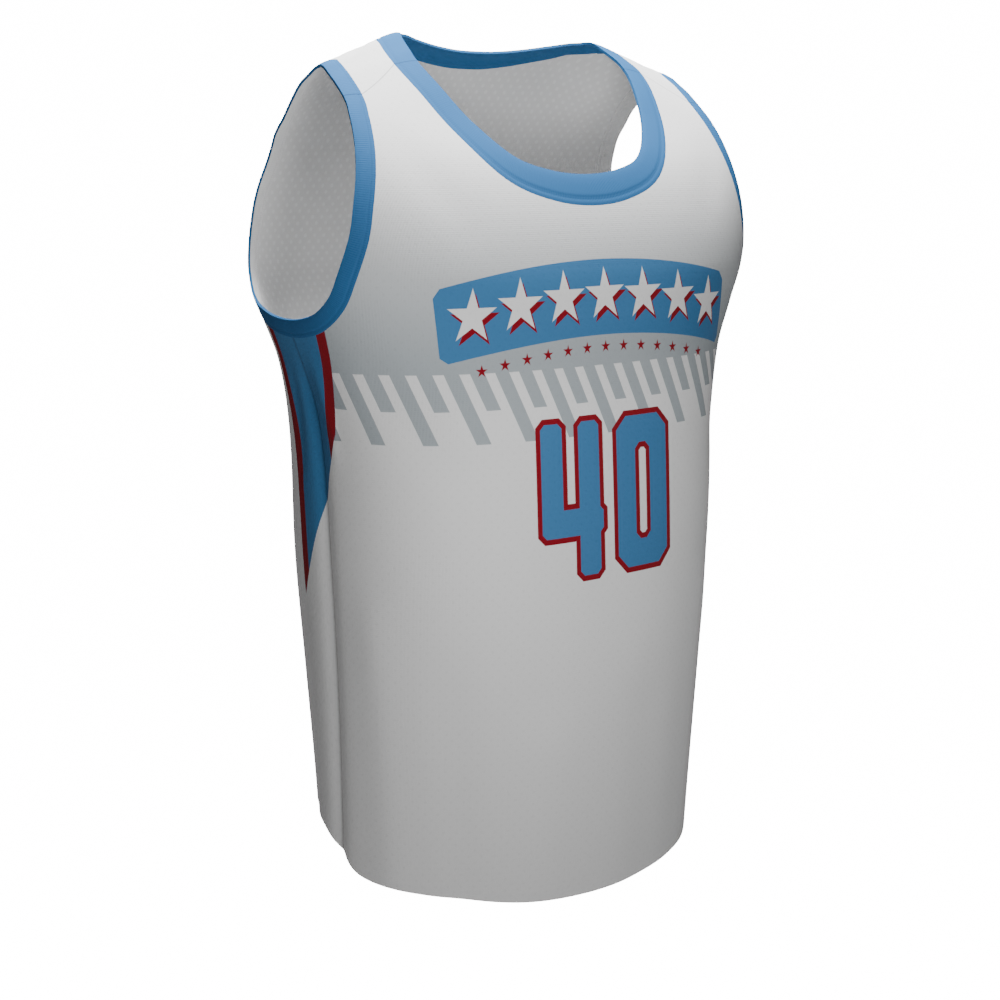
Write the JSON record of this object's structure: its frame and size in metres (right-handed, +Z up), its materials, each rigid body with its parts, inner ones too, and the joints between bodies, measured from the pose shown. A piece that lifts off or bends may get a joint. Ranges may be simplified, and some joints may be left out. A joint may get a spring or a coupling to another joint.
{
  "type": "basketball jersey",
  "caption": "Sleeveless basketball jersey, hollow as when worn, with deep armholes, scoop neck, ribbed bands and a curved hem.",
  "frame": {"origin": "midway between the neck ends of the two shoulders, at the height where the jersey hangs on a wearer", "axes": "+Z up along the body, +X to the wearer's left, +Y to the wearer's back, so the front faces -Y"},
  "size_m": [0.442, 0.2712, 0.7035],
  "materials": {
    "mesh_knit": "matt white polyester knit, with printed blue and red trim",
    "rib_knit": "matt light blue polyester rib"
  },
  "bodies": {
    "root": {"front_panel": "mesh_knit", "back_panel": "mesh_knit", "neckband_front": "rib_knit", "neckband_back": "rib_knit", "armhole_band_left_front": "rib_knit", "armhole_band_left_back": "rib_knit", "armhole_band_right_front": "rib_knit", "armhole_band_right_back": "rib_knit"}
  },
  "joints": []
}
